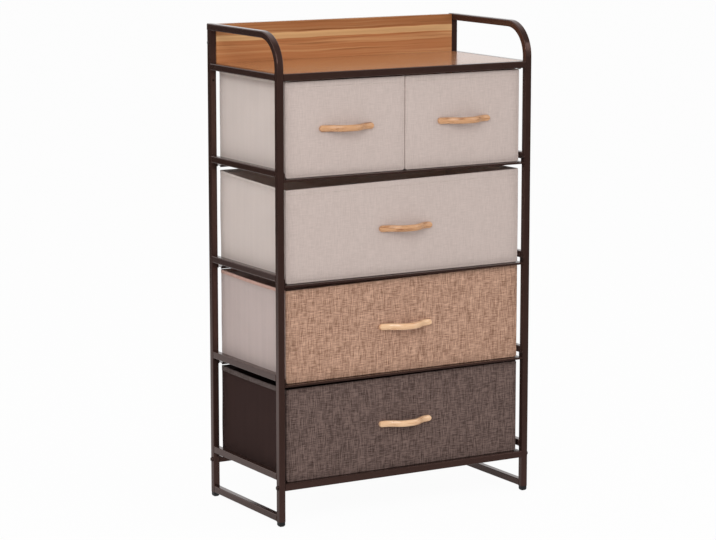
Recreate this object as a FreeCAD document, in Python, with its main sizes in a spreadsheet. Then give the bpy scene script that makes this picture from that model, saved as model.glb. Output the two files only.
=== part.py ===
"""Fabric drawer dresser: welded tube side frames, crossbars, a wooden top and five fabric drawers.

Millimetres, +Z up, front towards -Y. The origin is on the floor, under the centre of the
overall box, handles included.
"""
import FreeCAD, Part

import os

import Sketcher
from types import SimpleNamespace

doc = FreeCAD.newDocument("FabricDrawerDresser")

# Driving dimensions: alias, value, meaning.
SIZE_TABLE = [
    ("width", 600, "over the two side frames"),
    ("depth", 300, "front face to back face of a side frame"),
    ("drawer_height", 192, "floor to rim of a fabric drawer"),
    ("base_level", 87.5, "top of the base rails"),
    ("tier_gap", 10.5, "room over a drawer, up to the next level, on the lower two levels"),
    ("upper_tier_gap", 20, "the same on the third level"),
    ("shelf_gap", 17.5, "the same between the small drawers and the top of the shelf board"),
    ("arch_rise", 81, "top of the side frames above the shelf board"),
    ("tube", 14, "outside of the square steel tube"),
    ("tube_wall", 1, "wall of the tube"),
    ("tube_corner", 2, "outside corner radius of the tube"),
    ("bend_radius", 65, "centre line of the bend above each front post"),
    ("guide_lift", 22, "top of a side rail above the bars of its level"),
    ("upper_guide_lift", 19, "the same on the small drawers' level"),
    ("cap_height", 10, "foot cap below the end of the tube"),
    ("cap_inset", 0.4, "foot cap inside the line of the tube"),
    ("cap_round", 4.5, "round of the foot cap's lower edge"),
    ("stem_length", 14, "foot cap's and end plug's stem in the tube"),
    ("slip_fit", 0.2, "gap between a stem or a spigot and the bore around it"),
    ("spigot_length", 25, "welded stub that carries the end of a shelf rail"),
    ("insert_length", 12, "threaded insert in each end of a base rail"),
    ("bar_depth", 28, "front to back over a drawer support bar"),
    ("bar_height", 4, "height of a support bar's lips"),
    ("bar_gauge", 1.2, "sheet of the support bars"),
    ("ear_rise", 15, "support bar's end ear above the bar"),
    ("ear_round", 5, "round of an ear's upper corners"),
    ("ear_screw_rise", 8.5, "ear screw above the bar"),
    ("tab_width", 20, "shelf tab along its rail"),
    ("tab_reach", 18, "shelf tab's reach under the board"),
    ("tab_gauge", 1.5, "sheet of the shelf tabs"),
    ("tab_spacing", 400, "between the two tabs of a rail"),
    ("board_thickness", 12, "shelf board and back panel"),
    ("board_gap", 0.5, "gap around the shelf board and beside the back panel"),
    ("panel_drop", 1, "top of the back panel below the top of the frames"),
    ("panel_screw_rise", 42, "screws into the ends of the back panel, above the shelf board"),
    ("drain_hole", 4, "drain hole in the front wall of each back post"),
    ("drain_drop", 35, "drain hole below the shelf board's top"),
    ("bolt_shank", 6, "frame bolt's shank diameter"),
    ("bolt_head", 10, "frame bolt's head diameter"),
    ("bolt_head_height", 3.6, "frame bolt's head height"),
    ("screw_shank", 4, "screw's shank diameter"),
    ("screw_head", 8, "screw's head diameter"),
    ("screw_head_height", 2.2, "screw's head height"),
    ("screw_grip", 9, "screw's length in the wood of the shelf board"),
    ("panel_screw_grip", 25, "screw's length in the ends of the back panel"),
    ("ear_screw_reach", 7, "ear screw's length in the tube"),
    ("handle_screw_grip", 6, "handle screw's length in the handle"),
    ("hole_clearance", 0.3, "hole diameter over shank diameter"),
    ("hole_end_gap", 1, "blind hole beyond the tip of its screw"),
    ("front_setback", 11.5, "drawer front behind the front of the frames"),
    ("back_setback", 6.5, "drawer back before the back of the frames"),
    ("side_clearance", 9, "between a drawer and the inside of a side frame"),
    ("pair_gap", 2, "between the two small drawers"),
    ("seat_clearance", 0.3, "between a drawer and the bars under it"),
    ("cloth_wall", 3, "stiffened fabric wall"),
    ("cloth_floor", 2, "fabric floor"),
    ("drawer_corner", 5, "radius of the lower corners of a drawer's front and back panel"),
    ("drawer_heel", 2.5, "round of the side panels' lower edges"),
    ("cloth_edge", 1.2, "round of the front and back panel's outer edges"),
    ("front_board_thickness", 5, "stiffening board behind a drawer's front"),
    ("front_board_drop", 5, "front board's top below the rim"),
    ("base_board_thickness", 4, "loose board on a drawer's floor"),
    ("insert_gap", 0.3, "gap around the boards in a drawer"),
    ("handle_length", 124, "over the ends of a handle"),
    ("handle_band", 13, "height of the handle's wooden band"),
    ("handle_thickness", 8, "thickness of the band"),
    ("handle_reach", 28, "handle's face before the drawer's front"),
    ("handle_foot", 9, "flat foot at each end of a handle"),
    ("handle_crown", 8, "straight middle of a handle"),
    ("handle_edge", 2.5, "round of the band's long edges"),
    ("handle_screw_inset", 6.5, "handle screw from the end of the handle"),
]


class Size:
    """A length worked out from the sheet: its formula for the model, and its number."""

    def __init__(self, formula, number):
        self.formula = formula
        self.number = number

    def _join(self, sign, other, number):
        text = other.formula if isinstance(other, Size) else repr(float(other))
        return Size(f"({self.formula} {sign} {text})", number)

    def __add__(self, other):
        return self._join("+", other, self.number + plain(other))

    def __sub__(self, other):
        return self._join("-", other, self.number - plain(other))

    def __mul__(self, other):
        return self._join("*", other, self.number * plain(other))

    def __truediv__(self, other):
        return self._join("/", other, self.number / plain(other))

    def __neg__(self):
        return Size(f"(-1 * {self.formula})", -self.number)


def plain(value):
    """The number of a Size, or the number itself."""
    return value.number if isinstance(value, Size) else float(value)


def read_sheet():
    """Fill the sheet with the driving dimensions and hand back a Size for each alias."""
    sheet = doc.addObject("Spreadsheet::Sheet", "Sizes")
    sizes = SimpleNamespace()
    for row, (alias, value, meaning) in enumerate(SIZE_TABLE, start=1):
        sheet.set(f"A{row}", meaning)
        sheet.set(f"B{row}", str(value))
        sheet.setAlias(f"B{row}", alias)
    doc.recompute()
    for alias, _, _ in SIZE_TABLE:
        setattr(sizes, alias, Size(f"Sizes.{alias}", float(sheet.get(alias))))
    return sizes


dim = read_sheet()
ZERO = dim.tube * 0

# ---------------------------------------------------------------- worked-out places
lower_level = dim.base_level + dim.drawer_height + dim.tier_gap
middle_level = lower_level + dim.drawer_height + dim.tier_gap
upper_level = middle_level + dim.drawer_height + dim.upper_tier_gap
shelf_level = upper_level + dim.drawer_height + dim.shelf_gap
height = shelf_level + dim.arch_rise
half_tube = dim.tube / 2
bore = dim.tube - dim.tube_wall * 2
middle_y = (dim.handle_reach - dim.front_setback) / 2
front_y = middle_y - dim.depth / 2
back_y = middle_y + dim.depth / 2
post_x = (dim.width - dim.tube) / 2
inner_x = dim.width / 2 - dim.tube
front_post_y = front_y + half_tube
back_post_y = back_y - half_tube
top_rail_z = height - half_tube
base_rail_z = dim.base_level - half_tube
shelf_rail_z = shelf_level - half_tube
side_rail_length = dim.depth - dim.tube * 2
cross_rail_length = inner_x * 2
board_bottom_z = shelf_level - dim.board_thickness
stem = bore - dim.slip_fit * 2

panel_screw_z = shelf_level + dim.panel_screw_rise

LEVELS = {
    "base": dim.base_level,
    "lower": lower_level,
    "middle": middle_level,
    "upper": upper_level,
}
BAR_LEVELS = ("lower", "middle", "upper")
SIDES = {"left": -1, "right": 1}

drawer_depth = dim.depth - dim.front_setback - dim.back_setback
drawer_front_y = front_y + dim.front_setback
drawer_y = drawer_front_y + drawer_depth / 2
wide_drawer = (inner_x - dim.side_clearance) * 2
small_drawer = (wide_drawer - dim.pair_gap) / 2
small_drawer_x = (small_drawer + dim.pair_gap) / 2
clear_hole = dim.screw_shank + dim.hole_clearance
bolt_hole = dim.bolt_shank + dim.hole_clearance
handle_screw_x = dim.handle_length / 2 - dim.handle_screw_inset

sub_parts = []


# ---------------------------------------------------------------- drawing and feature helpers
def bind(thing, place, size):
    """Tie a property of an object to the sheet."""
    thing.setExpression(place, size.formula)


def place(thing, x, y, z):
    """Tie an object's position to the sheet."""
    bind(thing, ".Placement.Base.x", x)
    bind(thing, ".Placement.Base.y", y)
    bind(thing, ".Placement.Base.z", z)


def new_body(label, x=ZERO, y=ZERO, z=ZERO, kept=True):
    """A PartDesign body at a place; a kept body is written as a sub-part."""
    body = doc.addObject("PartDesign::Body", label)
    body.Label = label
    place(body, x, y, z)
    if kept:
        sub_parts.append(body)
    return body


class Drawing:
    """A sketch on one origin plane of a body, with every dimension tied to the sheet."""

    def __init__(self, body, plane, lift=None):
        """Args: plane is XY, XZ or YZ; lift moves the sketch along the plane's normal."""
        self.sketch = body.newObject("Sketcher::SketchObject", f"{body.Name}_sketch")
        origin = [item for item in body.Origin.OriginFeatures if item.Role == f"{plane}_Plane"]
        self.sketch.AttachmentSupport = [(origin[0], "")]
        self.sketch.MapMode = "FlatFace"
        if lift is not None:
            bind(self.sketch, ".AttachmentOffset.Base.z", lift)
        self.dimensions = 0

    def rule(self, *terms):
        """Add one geometric constraint."""
        return self.sketch.addConstraint(Sketcher.Constraint(*terms))

    def measure(self, kind, *where, size):
        """Add one dimension and tie it to the sheet."""
        index = self.rule(kind, *where, size.number)
        name = f"size_{self.dimensions}"
        self.dimensions += 1
        self.sketch.renameConstraint(index, name)
        bind(self.sketch, f"Constraints.{name}", size)

    def pin(self, curve, end, x, y):
        """Fix a point of a curve from the sketch's origin."""
        self.measure("DistanceX", -1, 1, curve, end, size=x)
        self.measure("DistanceY", -1, 1, curve, end, size=y)

    def line(self, start, finish):
        """Add a line between two (x, y) pairs of numbers."""
        ends = [FreeCAD.Vector(plain(x), plain(y), 0) for x, y in (start, finish)]
        return self.sketch.addGeometry(Part.LineSegment(*ends), False)

    def arc(self, start, middle, finish):
        """Add an arc through three (x, y) pairs and say which end is its start."""
        points = [FreeCAD.Vector(plain(x), plain(y), 0) for x, y in (start, middle, finish)]
        curve = self.sketch.addGeometry(Part.Arc(*points), False)
        first = self.sketch.getPoint(curve, 1)
        runs_forward = first.distanceToPoint(points[0]) < first.distanceToPoint(points[2])
        return curve, (1, 2) if runs_forward else (2, 1)

    def circle(self, x, y, diameter):
        """Add a circle at a place."""
        centre = FreeCAD.Vector(x.number, y.number, 0)
        shape = Part.Circle(centre, FreeCAD.Vector(0, 0, 1), diameter.number / 2)
        curve = self.sketch.addGeometry(shape, False)
        self.pin(curve, 3, x, y)
        self.measure("Diameter", curve, size=diameter)

    def outline(self, corners):
        """Add a closed outline of straight lines through (x, y) pairs of Sizes."""
        count = len(corners)
        lines = [self.line(corners[n], corners[(n + 1) % count]) for n in range(count)]
        for n, line in enumerate(lines):
            self.rule("Coincident", line, 2, lines[(n + 1) % count], 1)
            self.pin(line, 1, *corners[n])

    def rectangle(self, left, bottom, right, top):
        """Add a rectangle by its four sides."""
        self.outline([(left, bottom), (right, bottom), (right, top), (left, top)])

    def rounded(self, wide, tall, corner):
        """Add a rectangle with round corners, centred on the sketch's origin."""
        x, y, r = wide.number / 2, tall.number / 2, corner.number
        slant = r * 0.5**0.5
        lines, arcs = [], []
        for sx, sy in ((1, -1), (1, 1), (-1, 1), (-1, -1)):
            upright = sx == sy
            start = (sx * (x - r), sy * y) if not upright else (sx * x, sy * (y - r))
            finish = (sx * x, sy * (y - r)) if not upright else (sx * (x - r), sy * y)
            middle = (sx * (x - r + slant), sy * (y - r + slant))
            arcs.append(self.arc(start, middle, finish) + (start, finish))
        for n, (_, _, _, leave) in enumerate(arcs):
            lines.append(self.line(leave, arcs[(n + 1) % 4][2]))
        for n, line in enumerate(lines):
            curve, ends, _, _ = arcs[n]
            following, next_ends, _, _ = arcs[(n + 1) % 4]
            self.rule("Tangent", curve, ends[1], line, 1)
            self.rule("Tangent", line, 2, following, next_ends[0])
            self.rule("Vertical" if n % 2 == 0 else "Horizontal", line)
        for curve, _, _, _ in arcs[1:]:
            self.rule("Equal", arcs[0][0], curve)
        self.measure("Radius", arcs[0][0], size=corner)
        self.measure("DistanceX", -1, 1, lines[0], 1, size=wide / 2)
        self.measure("DistanceX", -1, 1, lines[2], 1, size=-wide / 2)
        self.measure("DistanceY", -1, 1, lines[1], 1, size=tall / 2)
        self.measure("DistanceY", -1, 1, lines[3], 1, size=-tall / 2)


def pad(body, drawing, length, both_ways=False, flipped=False):
    """Thicken a sketch into the body."""
    feature = body.newObject("PartDesign::Pad", f"{body.Name}_pad")
    feature.Profile = drawing.sketch
    feature.SideType = "Symmetric" if both_ways else "One side"
    feature.Reversed = flipped
    bind(feature, "Length", length)
    return feature


def pocket(body, drawing, depth=None, both_ways=False, flipped=False):
    """Cut a sketch out of the body; with no depth, right through."""
    before = solid_volume(body)
    feature = body.newObject("PartDesign::Pocket", f"{body.Name}_pocket")
    feature.Profile = drawing.sketch
    feature.SideType = "Symmetric" if both_ways else "One side"
    feature.Reversed = flipped
    if depth is None:
        feature.Type = "ThroughAll"
    else:
        bind(feature, "Length", depth)
    if solid_volume(body) >= before:
        raise RuntimeError(f"a cut in {body.Label} takes nothing away")
    return feature


def solid_volume(body):
    """Volume of a body as it stands."""
    doc.recompute()
    return body.Shape.Volume


def round_edges(body, radius, wanted):
    """Fillet the edges of the body's last feature that a test picks."""
    doc.recompute()
    base = body.Tip
    names = [f"Edge{n}" for n, edge in enumerate(base.Shape.Edges, start=1) if wanted(edge)]
    if not names:
        raise RuntimeError(f"no edge to round on {body.Label}")
    feature = body.newObject("PartDesign::Fillet", f"{body.Name}_fillet")
    feature.Base = (base, names)
    bind(feature, "Radius", radius)
    doc.recompute()
    return feature


def lies_at(edge, axis, coordinate):
    """Whether a whole edge lies at one coordinate along an axis."""
    low = getattr(edge.BoundBox, f"{axis}Min")
    high = getattr(edge.BoundBox, f"{axis}Max")
    tolerance = 1e-4
    return abs(low - coordinate) < tolerance and abs(high - coordinate) < tolerance


# ---------------------------------------------------------------- frame pieces
def ring(body, plane):
    """Draw the section of the square tube."""
    drawing = Drawing(body, plane)
    drawing.rounded(dim.tube, dim.tube, dim.tube_corner)
    drawing.rounded(bore, bore, dim.tube_corner - dim.tube_wall)
    return drawing


def straight_tube(label, plane, length, x, y, z):
    """A straight length of tube, centred on its place, square to the plane."""
    body = new_body(label, x, y, z)
    pad(body, ring(body, plane), length, both_ways=True)
    return body


def cross_hole(body, y, z, diameter):
    """A hole along X through both walls of an upright tube."""
    drawing = Drawing(body, "YZ")
    drawing.circle(y, z, diameter)
    pocket(body, drawing, both_ways=True)


def inner_holes(body, side, y, heights, diameter):
    """Holes along X through the wall that faces the drawers."""
    drawing = Drawing(body, "YZ")
    for z in heights:
        drawing.circle(y, z, diameter)
    pocket(body, drawing, flipped=side == "left")


def ear_screw_heights():
    """Heights of the screws that hold the support bars."""
    return [LEVELS[level] + dim.ear_screw_rise for level in BAR_LEVELS]


def front_post(side):
    """One tube from the foot up, bent back over the shelf to the back post."""
    body = new_body(f"{side}_front_post", post_x * SIDES[side])
    for section, feature_type in (("skin", "AdditivePipe"), ("bore", "SubtractivePipe")):
        profile = Drawing(body, "XY", dim.cap_height)
        if section == "skin":
            profile.rounded(dim.tube, dim.tube, dim.tube_corner)
        else:
            profile.rounded(bore, bore, dim.tube_corner - dim.tube_wall)
        bind(profile.sketch, ".AttachmentOffset.Base.y", front_post_y)
        pipe = body.newObject(f"PartDesign::{feature_type}", f"{body.Name}_{section}")
        pipe.Profile = profile.sketch
        pipe.Spine = (front_post_path(body).sketch, [])
        doc.recompute()
    cross_hole(body, front_post_y, base_rail_z, bolt_hole)
    inner_holes(body, side, front_post_y, ear_screw_heights(), clear_hole)
    return body


def front_post_path(body):
    """Centre line of a front post: up, round the bend and back."""
    drawing = Drawing(body, "YZ")
    r = dim.bend_radius.number
    y, z = front_post_y.number, top_rail_z.number
    slant = r * (1 - 0.5**0.5)
    upright = drawing.line((y, dim.cap_height), (y, z - r))
    bend, ends = drawing.arc((y, z - r), (y + slant, z - slant), (y + r, z))
    level = drawing.line((y + r, z), (back_y, z))
    drawing.rule("Vertical", upright)
    drawing.rule("Horizontal", level)
    drawing.rule("Tangent", upright, 2, bend, ends[0])
    drawing.rule("Tangent", bend, ends[1], level, 1)
    drawing.measure("Radius", bend, size=dim.bend_radius)
    drawing.pin(upright, 1, front_post_y, dim.cap_height)
    drawing.pin(level, 2, back_y, top_rail_z)
    return drawing


def back_post(side):
    """A straight post that stands under the end of the bent tube."""
    length = height - dim.tube - dim.cap_height
    centre = dim.cap_height + length / 2
    body = straight_tube(
        f"{side}_back_post", "XY", length, post_x * SIDES[side], back_post_y, centre
    )
    cross_hole(body, ZERO, base_rail_z - centre, bolt_hole)
    cross_hole(body, ZERO, panel_screw_z - centre, clear_hole)
    heights = [level - centre for level in ear_screw_heights()]
    inner_holes(body, side, ZERO, heights, clear_hole)
    drain = Drawing(body, "XZ")
    drain.circle(ZERO, shelf_level - dim.drain_drop - centre, dim.drain_hole)
    pocket(body, drain, flipped=True)
    return body


def side_rails(side):
    """The tubes welded between the front and back post of one side frame."""
    x = post_x * SIDES[side]
    tops = {f"{level}_side_rail": top + dim.guide_lift for level, top in LEVELS.items()}
    tops["upper_side_rail"] = LEVELS["upper"] + dim.upper_guide_lift
    tops["shelf_side_rail"] = shelf_level
    tops["foot_rail"] = dim.cap_height + dim.tube
    for name, top in tops.items():
        straight_tube(f"{side}_{name}", "XZ", side_rail_length, x, middle_y, top - half_tube)


def base_rail(end, y, inward):
    """A tube with a welded ledge for the lowest drawer and a threaded insert in each end."""
    body = straight_tube(f"{end}_base_rail", "YZ", cross_rail_length, ZERO, y, base_rail_z)
    for sign in SIDES.values():
        drawing = Drawing(body, "YZ", inner_x * sign)
        drawing.rounded(bore, bore, dim.tube_corner - dim.tube_wall)
        pad(body, drawing, dim.insert_length, flipped=sign > 0)
    start = (half_tube - dim.tube_wall) * inward
    lip = (dim.bar_depth - half_tube) * inward
    inside = lip - dim.bar_gauge * inward
    under = half_tube - dim.bar_gauge
    foot = half_tube - dim.bar_height
    ledge = Drawing(body, "YZ")
    ledge.outline(
        [
            (start, half_tube),
            (start, under),
            (inside, under),
            (inside, foot),
            (lip, foot),
            (lip, half_tube),
        ]
    )
    pad(body, ledge, cross_rail_length, both_ways=True)
    drawing = Drawing(body, "YZ")
    drawing.circle(ZERO, ZERO, bolt_hole)
    pocket(body, drawing, both_ways=True)
    return body


def shelf_rail(end, y, inward):
    """A tube between the side frames with two welded tabs that carry the shelf board."""
    body = straight_tube(f"{end}_shelf_rail", "YZ", cross_rail_length, ZERO, y, shelf_rail_z)
    near = (half_tube - dim.tube_wall) * inward
    far = (half_tube + dim.tab_reach) * inward
    tabs = Drawing(body, "XY", board_bottom_z - shelf_rail_z)
    holes = Drawing(body, "XY", board_bottom_z - shelf_rail_z)
    for sign in SIDES.values():
        centre = dim.tab_spacing / 2 * sign
        left = centre - dim.tab_width / 2
        right = centre + dim.tab_width / 2
        low, high = (near, far) if inward > 0 else (far, near)
        tabs.rectangle(left, low, right, high)
        holes.circle(centre, tab_screw_y(inward), clear_hole)
    pad(body, tabs, dim.tab_gauge, flipped=True)
    pocket(body, holes)
    spigot_holes = Drawing(body, "XY")
    for sign in SIDES.values():
        spigot_holes.circle(spigot_screw_x() * sign, ZERO, clear_hole)
    pocket(body, spigot_holes)
    return body


def tab_screw_y(inward):
    """Screw of a shelf tab, from the centre line of its rail."""
    return (half_tube + dim.tab_reach / 2) * inward


def spigot_screw_x():
    """Screw that holds a shelf rail on its spigot, from the middle of the object."""
    return inner_x - dim.spigot_length / 2


def support_bar(end, level, y, inward):
    """A folded sheet bar under the drawers, with an upright ear welded to each end."""
    top = LEVELS[level]
    body = new_body(f"{end}_{level}_bar", y=y, z=top)
    reach = dim.bar_depth * inward
    edges = (ZERO, reach) if inward > 0 else (reach, ZERO)
    left, right = edges
    gauge, foot = dim.bar_gauge, -dim.bar_height
    section = Drawing(body, "YZ")
    section.outline(
        [
            (left, foot),
            (left + gauge, foot),
            (left + gauge, -gauge),
            (right - gauge, -gauge),
            (right - gauge, foot),
            (right, foot),
            (right, ZERO),
            (left, ZERO),
        ]
    )
    pad(body, section, cross_rail_length, both_ways=True)
    ear_edges = (ZERO, dim.tube) if inward > 0 else (-dim.tube, ZERO)
    for sign in SIDES.values():
        ear = Drawing(body, "YZ", inner_x * sign)
        ear.rectangle(ear_edges[0], foot, ear_edges[1], dim.ear_rise)
        pad(body, ear, gauge, flipped=sign > 0)
    ear_top = dim.ear_rise.number

    def is_ear_corner(edge):
        across = edge.BoundBox.XLength > 0.5 * gauge.number
        return across and lies_at(edge, "Z", ear_top) and edge.BoundBox.YLength < gauge.number

    round_edges(body, dim.ear_round, is_ear_corner)
    holes = Drawing(body, "YZ")
    holes.circle(half_tube * inward, dim.ear_screw_rise, clear_hole)
    pocket(body, holes, both_ways=True)
    return body


def shelf_board():
    """The wooden top, let in between the rails and resting on their tabs."""
    body = new_body("shelf_board", z=board_bottom_z)
    gap = dim.board_gap
    low = front_y + dim.tube + gap
    high = back_y - dim.tube - gap
    drawing = Drawing(body, "XY")
    drawing.rectangle(gap - inner_x, low, inner_x - gap, high)
    pad(body, drawing, dim.board_thickness)
    holes = Drawing(body, "XY")
    for sign in SIDES.values():
        for inward, y in ((1, front_post_y), (-1, back_post_y)):
            holes.circle(dim.tab_spacing / 2 * sign, y + tab_screw_y(inward), clear_hole)
    pocket(body, holes, board_screw_length() - dim.tab_gauge + dim.hole_end_gap, flipped=True)
    return body


def board_screw_length():
    """Shelf board screw, under its head."""
    return dim.screw_grip + dim.tab_gauge


def back_panel():
    """The upright board behind the shelf, between the back posts and flush with their fronts."""
    body = new_body("back_panel", y=back_y - dim.tube, z=shelf_level)
    drawing = Drawing(body, "XZ")
    gap = dim.board_gap
    top = height - dim.panel_drop - shelf_level
    drawing.rectangle(gap - inner_x, ZERO, inner_x - gap, top)
    pad(body, drawing, dim.board_thickness, flipped=True)
    depth = dim.panel_screw_grip + dim.hole_end_gap
    for sign in SIDES.values():
        hole = Drawing(body, "YZ", (inner_x - gap) * sign)
        hole.circle(half_tube, panel_screw_z - shelf_level, clear_hole)
        pocket(body, hole, depth, flipped=sign < 0)
    return body


# ---------------------------------------------------------------- fittings
def fastener(name, shank, length, head, head_height):
    """A domed screw along +Z with the underside of its head at its origin."""
    body = new_body(name, kept=False)
    profile = Drawing(body, "XZ")
    profile.outline(
        [
            (ZERO, length),
            (ZERO, -head_height),
            (head / 2, -head_height),
            (head / 2, ZERO),
            (shank / 2, ZERO),
            (shank / 2, length),
        ]
    )
    turned = body.newObject("PartDesign::Revolution", f"{name}_turned")
    turned.Profile = profile.sketch
    turned.ReferenceAxis = (profile.sketch, ["V_Axis"])
    turned.Angle = 360
    doc.recompute()
    round_edges(body, head_height * 0.85, lambda edge: lies_at(edge, "Z", -head_height.number))
    return body


def group(label, master, spots):
    """One sub-part of like pieces: a copy of the master at each (direction, x, y, z)."""
    copies = []
    for direction, x, y, z in spots:
        copy = doc.addObject("App::Link", f"{label}_copy")
        copy.LinkedObject = master
        turn = FreeCAD.Rotation(FreeCAD.Vector(0, 0, 1), FreeCAD.Vector(*direction))
        copy.Placement = FreeCAD.Placement(FreeCAD.Vector(), turn)
        place(copy, x, y, z)
        copies.append(copy)
    return join(label, copies)


def join(label, pieces):
    """One sub-part of several separate solids."""
    joined = doc.addObject("Part::Compound", label)
    joined.Label = label
    joined.Links = pieces
    sub_parts.append(joined)
    return joined


def foot_cap():
    """A moulded cap with a rounded foot and a stem that plugs the tube."""
    body = new_body("foot_cap_moulding", kept=False)
    foot = Drawing(body, "XY")
    foot.rounded(
        dim.tube - dim.cap_inset * 2, dim.tube - dim.cap_inset * 2, dim.tube_corner
    )
    pad(body, foot, dim.cap_height)
    round_edges(body, dim.cap_round, lambda edge: lies_at(edge, "Z", 0))
    plug = Drawing(body, "XY", dim.cap_height)
    plug.rounded(stem, stem, dim.tube_corner - dim.tube_wall)
    pad(body, plug, dim.stem_length)
    return body


def end_plug():
    """A plain plug that closes the back end of a bent tube, along +Z into the tube."""
    body = new_body("end_plug_moulding", kept=False)
    drawing = Drawing(body, "XY")
    drawing.rounded(stem, stem, dim.tube_corner - dim.tube_wall)
    pad(body, drawing, dim.stem_length)
    return body


def spigot():
    """A stub along +Z that the end of a shelf rail slides over, drilled for its screw."""
    body = new_body("spigot_stub", kept=False)
    drawing = Drawing(body, "XY")
    drawing.rounded(stem, stem, dim.tube_corner - dim.tube_wall)
    pad(body, drawing, dim.spigot_length)
    hole = Drawing(body, "YZ")
    hole.circle(ZERO, dim.spigot_length / 2, clear_hole)
    pocket(body, hole, both_ways=True)
    return body


def frame_fittings():
    """Caps, plugs, stubs and the screws of the frame."""
    post_rows = (front_post_y, back_post_y)
    corners = [(sign, y) for sign in SIDES.values() for y in post_rows]
    up, back, front = (0, 0, 1), (0, 1, 0), (0, -1, 0)
    group("foot_caps", foot_cap(), [(up, post_x * sign, y, ZERO) for sign, y in corners])
    ends = [(front, post_x * sign, back_y, top_rail_z) for sign in SIDES.values()]
    group("tube_end_plugs", end_plug(), ends)
    stubs = [((-sign, 0, 0), inner_x * sign, y, shelf_rail_z) for sign, y in corners]
    group("shelf_rail_spigots", spigot(), stubs)

    bolt = fastener(
        "frame_bolt",
        dim.bolt_shank,
        dim.tube + dim.insert_length,
        dim.bolt_head,
        dim.bolt_head_height,
    )
    outer = dim.width / 2
    bolts = [((-sign, 0, 0), outer * sign, y, base_rail_z) for sign, y in corners]
    group("base_rail_bolts", bolt, bolts)

    panel_screw = small_screw("panel_screw", dim.tube + dim.board_gap + dim.panel_screw_grip)
    spots = [
        ((-sign, 0, 0), outer * sign, back_post_y, panel_screw_z)
        for sign in SIDES.values()
    ]
    group("back_panel_screws", panel_screw, spots)

    ear_screw = small_screw("ear_screw", dim.bar_gauge + dim.ear_screw_reach)
    face = inner_x - dim.bar_gauge
    spots = [
        ((sign, 0, 0), face * sign, y, z) for sign, y in corners for z in ear_screw_heights()
    ]
    group("support_bar_screws", ear_screw, spots)

    shelf_screw = small_screw("shelf_screw", board_screw_length())
    tab_x = dim.tab_spacing / 2
    tab_z = board_bottom_z - dim.tab_gauge
    rail_bottom_z = shelf_level - dim.tube
    spots = []
    for sign in SIDES.values():
        for inward, y in ((1, front_post_y), (-1, back_post_y)):
            spots.append((up, tab_x * sign, y + tab_screw_y(inward), tab_z))
            spots.append((up, spigot_screw_x() * sign, y, rail_bottom_z))
    group("shelf_screws", shelf_screw, spots)


def small_screw(name, length):
    """A screw of the small size, of a given length under its head."""
    return fastener(name, dim.screw_shank, length, dim.screw_head, dim.screw_head_height)


# ---------------------------------------------------------------- drawers
def end_panel(label, wide, x, y, bottom, outward):
    """The front or back panel of a fabric box, with round lower corners and soft outer edges."""
    body = new_body(label, x, y, bottom, kept=False)
    drawing = Drawing(body, "XZ")
    drawing.rectangle(-wide / 2, ZERO, wide / 2, dim.drawer_height)
    pad(body, drawing, dim.cloth_wall, flipped=outward > 0)
    half = wide.number / 2

    def is_lower_corner(edge):
        at_side = lies_at(edge, "X", half) or lies_at(edge, "X", -half)
        return at_side and lies_at(edge, "Z", 0)

    round_edges(body, dim.drawer_corner, is_lower_corner)
    outer = dim.cloth_wall.number * outward
    round_edges(body, dim.cloth_edge, lambda edge: lies_at(edge, "Y", outer))
    return body


def side_panel(label, x, bottom):
    """A side panel of a fabric box, with a soft lower edge."""
    body = new_body(label, x, drawer_y, bottom, kept=False)
    reach = drawer_depth / 2 - dim.cloth_wall
    drawing = Drawing(body, "XY")
    drawing.rectangle(-dim.cloth_wall / 2, -reach, dim.cloth_wall / 2, reach)
    pad(body, drawing, dim.drawer_height)
    return body


def fabric_box(name, wide, x, bottom):
    """The sewn box of a drawer: five stiff cloth panels, open at the top."""
    wall = dim.cloth_wall
    front = end_panel(f"{name}_front_panel", wide, x, drawer_front_y + wall, bottom, -1)
    holes = Drawing(front, "XZ")
    for sign in SIDES.values():
        holes.circle(handle_screw_x * sign, dim.drawer_height / 2, clear_hole)
    pocket(front, holes, both_ways=True)
    back_panel_y = drawer_y + drawer_depth / 2 - wall
    panels = [front, end_panel(f"{name}_back_panel", wide, x, back_panel_y, bottom, 1)]
    for side, sign in SIDES.items():
        middle = (wide - wall) / 2
        panel = side_panel(f"{name}_{side}_panel", x + middle * sign, bottom)
        outer = wall.number / 2 * sign
        round_edges(
            panel,
            dim.drawer_heel,
            lambda edge: lies_at(edge, "Z", 0) and lies_at(edge, "X", outer),
        )
        panels.append(panel)
    floor = new_body(f"{name}_floor", x, drawer_y, bottom, kept=False)
    drawing = Drawing(floor, "XY")
    side, reach = wide / 2 - wall, drawer_depth / 2 - wall
    drawing.rectangle(-side, -reach, side, reach)
    pad(floor, drawing, dim.cloth_floor)
    panels.append(floor)
    return join(f"{name}_fabric_box", panels)


def front_board(name, wide, x, bottom):
    """The board that stiffens a drawer's front, with the holes of the handle's screws."""
    body = new_body(f"{name}_front_board", x, drawer_front_y + dim.cloth_wall, bottom)
    half = wide / 2 - dim.drawer_corner
    drawing = Drawing(body, "XZ")
    top = dim.drawer_height - dim.front_board_drop
    drawing.rectangle(-half, dim.cloth_floor, half, top)
    pad(body, drawing, dim.front_board_thickness, flipped=True)
    holes = Drawing(body, "XZ")
    for sign in SIDES.values():
        holes.circle(handle_screw_x * sign, dim.drawer_height / 2, clear_hole)
    pocket(body, holes, both_ways=True)
    return body


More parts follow.
